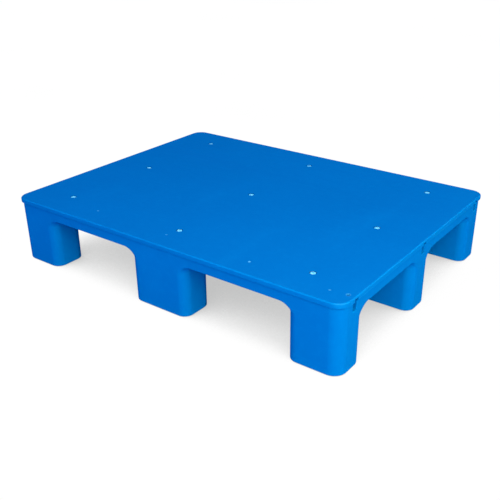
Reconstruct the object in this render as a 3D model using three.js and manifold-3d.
// Smooth-deck plastic pallet on nine feet, 800 x 600 x 140 mm.
// A moulded lid laps over a moulded tray. Three steel tubes lie in channels of the tray,
// six plugs close the tube ends and nine screws hold the lid down.
// Millimetres. Origin: centre of the footprint, on the floor. +X along the long side, +Z up.
// Left is -X, front is -Y.
import * as THREE from "three";
import { mergeVertices } from "three/addons/utils/BufferGeometryUtils.js";
import Module from "manifold-3d";

// ---- overall ------------------------------------------------------------------
const LENGTH = 800; // X, over the lid rim
const WIDTH = 600; // Y, over the lid rim
const HEIGHT = 140; // Z, floor to deck
const GAP = 0.3; // clearance between neighbouring pieces
const OVERCUT = 5; // how far a large cutter runs past the face it opens
const SMALL_OVERCUT = 1; // the same for small cutters

const mirrored = (distance) => [-distance, 0, distance];

// ---- lid ----------------------------------------------------------------------
const LID_PLATE = 4; // deck plate thickness
const LID_RIM_H = 9.5; // rim height, measured down from the deck
const LID_RIM_T = 3.8; // rim wall
const LID_CORNER_R = 26;
const LID_EDGE_R = 3; // round on the top edge
const LID_MOUTH_REACH = 2; // a tube mouth is cut this far behind the rim wall

// ---- tray ---------------------------------------------------------------------
const ENTRY_H = 110; // underside of the tray above the floor (fork entry height)
const TRAY_TOP = HEIGHT - LID_PLATE - GAP;
const SKIRT_TOP = 129.2; // shoulder under the lid rim
const SKIRT_INSET = 2.8; // skirt face behind the rim face at the shoulder
const FOOT_INSET = 3.4; // the same face at the floor: draft
const SKIRT_CORNER_R = 25;
const SKIRT_OVERSIZE = 0.5; // skirt blank outside the drafted envelope that trims it
const ENVELOPE_TRIM = 0.04; // taken off the outer faces of the feet by the envelope
const WALL = 3.2; // skirt and foot walls
const FLOOR = 2.8; // tray floor thickness
const FLOOR_TOP = ENTRY_H + FLOOR;
const UPSTAND_INSET = LID_RIM_T + GAP; // wall that stands up inside the rim
const UPSTAND_CORNER_R = LID_CORNER_R - UPSTAND_INSET;
const UPSTAND_ROOT = 4; // depth of the upstand below the shoulder
const ROOM_DRAFT = 1; // the tray's hollow is narrower by this at its floor, each side

// ---- feet ---------------------------------------------------------------------
const FOOT_LX = [105, 136, 105]; // length in X at the floor, by column
const FOOT_LY = [72.5, 69, 72.5]; // length in Y at the floor, by row
const FOOT_X = mirrored(LENGTH / 2 - FOOT_INSET - FOOT_LX[0] / 2);
const FOOT_Y = mirrored(WIDTH / 2 - FOOT_INSET - FOOT_LY[0] / 2);
const FOOT_R = 20; // vertical corner radius
const FOOT_EDGE_R = 2.5; // round on the bottom edge
const FOOT_FILLET = 20; // fillet between foot wall and tray underside
const FOOT_OVERLAP = 2; // a foot runs this far up into the skirt blank
const FOOT_SOLE = 4.5; // thickness of a foot's bottom
const CUP_INSET = WALL + 0.6; // hollow of a foot behind the foot's outline
const CUP_OUT_BOTTOM = -1; // offset of the hollow at the sole
const CUP_OUT_TOP = 0.4; // and at the tray floor

// ---- ribs inside the tray --------------------------------------------------------
const RIB = 2.5; // ribs and channel walls
const RIBS_X = [-344, -232, -116, 0, 116, 232, 344];
const RIBS_Y = [-175, -87.5, 87.5, 175];
const RIB_Z = [-OVERCUT, TRAY_TOP + 2 * OVERCUT];
const ALL_ALONG = [-LENGTH, LENGTH]; // right through the tray, in X or in Y

// ---- steel tubes and their channels ------------------------------------------------
const TUBE_Y = mirrored(257);
const TUBE_W = 9;
const TUBE_H = 18;
const TUBE_T = 1.5;
const TUBE_END = 764 / 2; // half the tube length
const TUBE_Z0 = 117; // underside of a tube
const TUBE_TOP = TUBE_Z0 + TUBE_H;
const TUBE_DRILL_HALF = 3; // a drilled hole runs this far above and below the tube top
const CHANNEL_HALF = TUBE_W / 2 + GAP;
const SLOT_W = 12; // mouth of a channel in the end wall
const SLOT_Z0 = 112;
const SLOT_REACH = 3; // a mouth is cut this far behind the skirt wall

// ---- tube end plugs ------------------------------------------------------------
const PLUG_FACE = TUBE_END + GAP; // head face towards the tube
const PLUG_HEAD = 7;
const PLUG_STEM = 14;
const STEM_ROOT = 1; // stem length buried in the head
const STEM_TAPER_Y = 0.7; // scale of the stem's inner end
const STEM_TAPER_Z = 0.85;
const DIMPLE_DEPTH = 2.5; // pocket in the outer face of the head
const DIMPLE_WALL_Y = 1.6;
const DIMPLE_WALL_Z = 2.2;

// ---- lid screws ------------------------------------------------------------------
const SCREW_X = mirrored(300);
const SCREW_Y = mirrored(229);
const HEAD_R = 5.4;
const HEAD_H = 1.9;
const SHANK_R = 2.5;
const SCREW_LEN = 15; // below the head
const CONE_H = 4; // tapered end of the shank
const CROSS_ARM = 2.4; // cross recess: half length, half width and depth of an arm
const CROSS_HALF_W = 0.5;
const CROSS_DEPTH = 1.2;
const SINK_R = 6.2; // counterbore in the lid
const SINK_D = 2.2;
const LID_HOLE_R = SHANK_R + 0.4;
const SCREW_HOLE_R = SHANK_R + GAP; // in tray and tube
const SCREW_HOLE_Z0 = HEIGHT - SINK_D - SCREW_LEN - 1;
const SCREW_HOLE_CUT = 25; // cutter length, out through the tray top
const BOSS_R = 6;
const BOSS_Z0 = ENTRY_H + 1; // boss root, within the floor

const sitesIn = (rows) => SCREW_X.flatMap((x) => rows.map((y) => ({ x, y })));
const LID_SITES = sitesIn(SCREW_Y);
const BOSS_SITES = sitesIn(SCREW_Y.filter((y) => y !== 0)); // the middle row meets the tube

// ---- materials ----------------------------------------------------------------
const standard = (settings) => new THREE.MeshStandardMaterial(settings);
const lidPlastic = () =>
  standard({ name: "lid_plastic", color: 0x0269c8, roughness: 0.5, metalness: 0 });
const trayPlastic = () =>
  standard({ name: "tray_plastic", color: 0x036fca, roughness: 0.5, metalness: 0 });
const plugPlastic = () =>
  standard({ name: "plug_plastic", color: 0x0453a8, roughness: 0.6, metalness: 0 });
const tubeSteel = () =>
  standard({ name: "tube_steel", color: 0x9aa0a6, roughness: 0.4, metalness: 1 });
const screwZinc = () =>
  standard({ name: "screw_zinc", color: 0xd6e6f2, roughness: 0.3, metalness: 1 });

// ---- solids -------------------------------------------------------------------
const wasm = await Module();
wasm.setup();

// Only positions are kept, so that vertices along creases merge and the surface closes.
function solid(geometry) {
  for (const name of Object.keys(geometry.attributes))
    if (name !== "position") geometry.deleteAttribute(name);
  const merged = mergeVertices(geometry, 1e-4);
  return new wasm.Manifold(
    new wasm.Mesh({
      numProp: 3,
      vertProperties: new Float32Array(merged.attributes.position.array),
      triVerts: new Uint32Array(merged.index.array),
    }),
  );
}

function geometryOf(made) {
  const mesh = made.getMesh();
  const geometry = new THREE.BufferGeometry();
  const positions = new Float32Array(mesh.vertProperties);
  geometry.setAttribute("position", new THREE.BufferAttribute(positions, 3));
  geometry.setIndex(new THREE.BufferAttribute(new Uint32Array(mesh.triVerts), 1));
  geometry.computeVertexNormals();
  return geometry;
}

const union = (parts) => parts.reduce((sum, part) => sum.add(part));

// Ranges for box(): about a centre, and between two distances out along -X or +X.
const around = (centre, half) => [centre - half, centre + half];
const outward = (side, near, far) => (side > 0 ? [near, far] : [-far, -near]);

const box = ([x0, x1], [y0, y1], [z0, z1]) =>
  solid(
    new THREE.BoxGeometry(x1 - x0, y1 - y0, z1 - z0).translate(
      (x0 + x1) / 2,
      (y0 + y1) / 2,
      (z0 + z1) / 2,
    ),
  );

const cylinder = ({ radius, z0, z1, segments, x, y }) =>
  solid(
    new THREE.CylinderGeometry(radius, radius, z1 - z0, segments)
      .rotateX(Math.PI / 2)
      .translate(x, y, (z0 + z1) / 2),
  );

// A solid of revolution about a vertical axis, from [radius, z] points.
const turned = ({ profile, segments, x, y }) =>
  solid(
    new THREE.LatheGeometry(
      profile.map(([radius, z]) => new THREE.Vector2(radius, z)),
      segments,
    )
      .rotateX(Math.PI / 2)
      .translate(x, y, 0),
  );

function roundedRect(halfX, halfY, radius) {
  const cornerX = halfX - radius;
  const cornerY = halfY - radius;
  const quarter = Math.PI / 2;
  const shape = new THREE.Shape();
  shape.moveTo(-cornerX, -halfY);
  shape.lineTo(cornerX, -halfY);
  shape.absarc(cornerX, -cornerY, radius, -quarter, 0, false);
  shape.lineTo(halfX, cornerY);
  shape.absarc(cornerX, cornerY, radius, 0, quarter, false);
  shape.lineTo(-cornerX, halfY);
  shape.absarc(-cornerX, cornerY, radius, quarter, 2 * quarter, false);
  shape.lineTo(-halfX, -cornerY);
  shape.absarc(-cornerX, -cornerY, radius, 2 * quarter, 3 * quarter, false);
  return shape;
}

// A prism on a rounded rectangle whose outline is offset outwards by `out` at each level `z`.
// Each corner is drawn with twice `segments` chords.
function prism({ halfX, halfY, radius, levels, segments, x = 0, y = 0 }) {
  const steps = levels.length - 1;
  const geometry = new THREE.ExtrudeGeometry(roundedRect(halfX, halfY, radius), {
    depth: steps,
    steps,
    bevelEnabled: false,
    curveSegments: segments,
  });
  const points = geometry.attributes.position;
  const clamp = (value, limit) => Math.max(-limit, Math.min(limit, value));
  for (let i = 0; i < points.count; i++) {
    const { z, out } = levels[Math.round(points.getZ(i))];
    const px = points.getX(i);
    const py = points.getY(i);
    const cornerX = clamp(px, halfX - radius);
    const cornerY = clamp(py, halfY - radius);
    const scale = (radius + out) / radius;
    points.setXYZ(i, cornerX + (px - cornerX) * scale, cornerY + (py - cornerY) * scale, z);
  }
  return solid(geometry.translate(x, y, 0));
}

// The same, with its outline set in from the pallet's.
const insetPrism = (inset, options) =>
  prism({ halfX: LENGTH / 2 - inset, halfY: WIDTH / 2 - inset, ...options });

// Levels round a quarter arc: `levelAt` gets the sine and cosine of each angle.
const arcLevels = (degrees, levelAt) =>
  degrees.map((degree) => {
    const angle = THREE.MathUtils.degToRad(degree);
    return levelAt(Math.sin(angle), Math.cos(angle));
  });

// Openings at both ends of every channel.
const channelMouths = (nearX, z0, z1) =>
  TUBE_Y.flatMap((y) =>
    [-1, 1].map((side) =>
      box(outward(side, nearX, LENGTH / 2 + OVERCUT), around(y, SLOT_W / 2), [z0, z1]),
    ),
  );

// ---- lid: deck plate with a rim turned down all round ----------------------------
function makeLid() {
  const rimBottom = HEIGHT - LID_RIM_H;
  const plateBottom = HEIGHT - LID_PLATE;
  const roundedEdge = arcLevels([0, 30, 60, 90], (sin, cos) => ({
    z: HEIGHT - LID_EDGE_R + LID_EDGE_R * sin,
    out: -LID_EDGE_R + LID_EDGE_R * cos,
  }));
  const outer = insetPrism(0, {
    radius: LID_CORNER_R,
    levels: [{ z: rimBottom, out: 0 }, ...roundedEdge],
    segments: 4,
  });
  const inside = insetPrism(LID_RIM_T, {
    radius: LID_CORNER_R - LID_RIM_T,
    levels: [
      { z: rimBottom - OVERCUT, out: 0 },
      { z: plateBottom, out: 0 },
    ],
    segments: 3,
  });
  const holeProfile = [
    [0, plateBottom - SMALL_OVERCUT],
    [LID_HOLE_R, plateBottom - SMALL_OVERCUT],
    [LID_HOLE_R, HEIGHT - SINK_D],
    [SINK_R, HEIGHT - SINK_D],
    [SINK_R, HEIGHT + SMALL_OVERCUT],
    [0, HEIGHT + SMALL_OVERCUT],
  ];
  const holes = LID_SITES.map((site) =>
    turned({ profile: holeProfile, segments: 12, ...site }),
  );
  const mouths = channelMouths(
    LENGTH / 2 - LID_RIM_T - LID_MOUTH_REACH,
    rimBottom - OVERCUT,
    plateBottom,
  );
  return outer.subtract(inside).subtract(union(holes)).subtract(union(mouths));
}

// ---- tray: skirt, floor, nine hollow feet, ribs, channels, bosses ------------------
// Outward lean of the skirt and foot faces at height z, from their place at the floor.
const leanAt = (z) => ((FOOT_INSET - SKIRT_INSET) * z) / SKIRT_TOP;

// Every foot leans with the skirt, so the outer walls of the feet run flush into it.
function footLevels() {
  const bottomEdge = arcLevels([0, 45, 90], (sin, cos) => {
    const z = FOOT_EDGE_R - FOOT_EDGE_R * cos;
    return { z, out: leanAt(z) - FOOT_EDGE_R + FOOT_EDGE_R * sin };
  });
  const fillet = arcLevels([0, 30, 60, 90], (sin, cos) => {
    const z = ENTRY_H - FOOT_FILLET + FOOT_FILLET * sin;
    return { z, out: leanAt(z) + FOOT_FILLET - FOOT_FILLET * cos };
  });
  const top = ENTRY_H + FOOT_OVERLAP;
  return [...bottomEdge, ...fillet, { z: top, out: leanAt(top) + FOOT_FILLET }];
}

// One solid per foot, its outline at the floor set in by `inset`.
const perFoot = (inset, options) =>
  FOOT_X.flatMap((x, i) =>
    FOOT_Y.map((y, j) =>
      prism({ halfX: FOOT_LX[i] / 2 - inset, halfY: FOOT_LY[j] / 2 - inset, x, y, ...options }),
    ),
  );

function trayOutside() {
  const envelope = insetPrism(FOOT_INSET + ENVELOPE_TRIM, {
    radius: SKIRT_CORNER_R,
    levels: [
      { z: -SMALL_OVERCUT, out: 0 },
      { z: 0, out: 0 },
      { z: SKIRT_TOP, out: leanAt(SKIRT_TOP) },
    ],
    segments: 3,
  });
  const skirt = insetPrism(FOOT_INSET - leanAt(ENTRY_H), {
    radius: SKIRT_CORNER_R,
    levels: [
      { z: ENTRY_H, out: SKIRT_OVERSIZE },
      { z: SKIRT_TOP, out: SKIRT_OVERSIZE },
    ],
    segments: 3,
  });
  const upstand = insetPrism(UPSTAND_INSET, {
    radius: UPSTAND_CORNER_R,
    levels: [
      { z: SKIRT_TOP - UPSTAND_ROOT, out: 0 },
      { z: TRAY_TOP, out: 0 },
    ],
    segments: 3,
  });
  const feet = perFoot(0, { radius: FOOT_R, levels: footLevels(), segments: 2 });
  return union(feet).add(skirt).intersect(envelope).add(upstand);
}

// Everything above the floor inside the walls, and the nine cups in the feet.
function trayHollow() {
  const cups = perFoot(CUP_INSET, {
    radius: FOOT_R - WALL,
    levels: [
      { z: FOOT_SOLE, out: CUP_OUT_BOTTOM },
      { z: FLOOR_TOP + SMALL_OVERCUT, out: CUP_OUT_TOP },
    ],
    segments: 1,
  });
  const room = insetPrism(UPSTAND_INSET + WALL, {
    radius: UPSTAND_CORNER_R - WALL,
    levels: [
      { z: FLOOR_TOP, out: -ROOM_DRAFT },
      { z: TRAY_TOP + OVERCUT, out: 0 },
    ],
    segments: 1,
  });
  return union(cups).add(room);
}

// Oversize ribs, channel walls and bosses: what the hollow leaves standing.
function trayRibs() {
  const channelWallZ = [ENTRY_H, RIB_Z[1]];
  const ribs = [
    ...RIBS_X.map((x) => box(around(x, RIB / 2), ALL_ALONG, RIB_Z)),
    ...RIBS_Y.map((y) => box(ALL_ALONG, around(y, RIB / 2), RIB_Z)),
  ];
  for (const y of TUBE_Y) {
    for (const side of [-1, 1])
      ribs.push(
        box(ALL_ALONG, around(y + side * (CHANNEL_HALF + RIB / 2), RIB / 2), channelWallZ),
      );
    // below the channel, a rib along each foot
    FOOT_X.forEach((x, i) =>
      ribs.push(box(around(x, FOOT_LX[i] / 2), around(y, RIB / 2), [RIB_Z[0], FLOOR_TOP])),
    );
  }
  const bosses = BOSS_SITES.map((site) =>
    cylinder({ radius: BOSS_R, z0: BOSS_Z0, z1: RIB_Z[1], segments: 12, ...site }),
  );
  return union([...ribs, ...bosses]);
}

// Channels, their mouths in the end walls, and the blind screw holes.
function trayCuts() {
  const cutTop = TRAY_TOP + OVERCUT;
  const channels = TUBE_Y.map((y) =>
    box(ALL_ALONG, around(y, CHANNEL_HALF), [TUBE_Z0 - GAP, cutTop]),
  );
  const mouths = channelMouths(LENGTH / 2 - SKIRT_INSET - WALL - SLOT_REACH, SLOT_Z0, cutTop);
  const holes = BOSS_SITES.map((site) =>
    cylinder({
      radius: SCREW_HOLE_R,
      z0: SCREW_HOLE_Z0,
      z1: SCREW_HOLE_Z0 + SCREW_HOLE_CUT,
      segments: 8,
      ...site,
    }),
  );
  return union([...channels, ...mouths, ...holes]);
}

const makeTray = () =>
  trayOutside().subtract(trayHollow().subtract(trayRibs())).subtract(trayCuts());

// ---- steel tube, standing on edge, drilled under the middle row of screws -----------
function makeTube(y) {
  const outer = box(around(0, TUBE_END), around(y, TUBE_W / 2), [TUBE_Z0, TUBE_TOP]);
  const bore = box(
    around(0, TUBE_END + SMALL_OVERCUT),
    around(y, TUBE_W / 2 - TUBE_T),
    [TUBE_Z0 + TUBE_T, TUBE_TOP - TUBE_T],
  );
  const tube = outer.subtract(bore);
  if (y !== 0) return tube;
  const [z0, z1] = around(TUBE_TOP, TUBE_DRILL_HALF);
  const holes = SCREW_X.map((x) =>
    cylinder({ radius: SCREW_HOLE_R, z0, z1, segments: 8, x, y }),
  );
  return tube.subtract(union(holes));
}

// ---- plug: dimpled head beyond the tube end, tapered stem inside the tube -----------
function makePlug(side, y) {
  const headEnd = PLUG_FACE + PLUG_HEAD;
  const head = box(
    outward(side, PLUG_FACE, headEnd),
    around(y, TUBE_W / 2),
    [TUBE_Z0, TUBE_TOP],
  );
  const dimple = box(
    outward(side, headEnd - DIMPLE_DEPTH, headEnd + SMALL_OVERCUT),
    around(y, TUBE_W / 2 - DIMPLE_WALL_Y),
    [TUBE_Z0 + DIMPLE_WALL_Z, TUBE_TOP - DIMPLE_WALL_Z],
  );
  const stem = new THREE.BoxGeometry(
    PLUG_STEM + STEM_ROOT,
    TUBE_W - 2 * TUBE_T - 2 * GAP,
    TUBE_H - 2 * TUBE_T - 2 * GAP,
  );
  const points = stem.attributes.position;
  for (let i = 0; i < points.count; i++)
    if (points.getX(i) * side < 0) {
      points.setY(i, points.getY(i) * STEM_TAPER_Y);
      points.setZ(i, points.getZ(i) * STEM_TAPER_Z);
    }
  const stemX = side * (PLUG_FACE + (STEM_ROOT - PLUG_STEM) / 2);
  stem.translate(stemX, y, TUBE_Z0 + TUBE_H / 2);
  return head.subtract(dimple).add(solid(stem));
}

// ---- lid screw: domed head with a cross recess, plain shank, blunt cone point -------
function makeScrew(x, y) {
  const under = HEIGHT - SINK_D + GAP;
  const top = under + HEAD_H;
  const profile = [
    [0, under - SCREW_LEN],
    [SHANK_R * 0.25, under - SCREW_LEN],
    [SHANK_R, under - SCREW_LEN + CONE_H],
    [SHANK_R, under],
    [HEAD_R, under],
    [HEAD_R, under + HEAD_H * 0.55],
    [HEAD_R * 0.88, under + HEAD_H * 0.82],
    [0, top],
  ];
  const recessArm = (halfX, halfY) =>
    box(around(x, halfX), around(y, halfY), [top - CROSS_DEPTH, top + SMALL_OVERCUT]);
  const recess = recessArm(CROSS_ARM, CROSS_HALF_W).add(recessArm(CROSS_HALF_W, CROSS_ARM));
  return turned({ profile, segments: 10, x, y }).subtract(recess);
}

// ---- assembly -----------------------------------------------------------------
const pallet = new THREE.Group();
function put(name, made, material) {
  const mesh = new THREE.Mesh(geometryOf(made), material);
  mesh.name = name;
  pallet.add(mesh);
}

const ROWS = ["front", "centre", "back"];
const COLUMNS = ["left", "middle", "right"];
put("deck_lid", makeLid(), lidPlastic());
put("base_tray", makeTray(), trayPlastic());
TUBE_Y.forEach((y, j) => put(`reinforcement_tube_${ROWS[j]}`, makeTube(y), tubeSteel()));
TUBE_Y.forEach((y, j) => {
  put(`tube_plug_left_${ROWS[j]}`, makePlug(-1, y), plugPlastic());
  put(`tube_plug_right_${ROWS[j]}`, makePlug(1, y), plugPlastic());
});
SCREW_Y.forEach((y, j) =>
  SCREW_X.forEach((x, i) =>
    put(`lid_screw_${ROWS[j]}_${COLUMNS[i]}`, makeScrew(x, y), screwZinc()),
  ),
);

export default pallet;
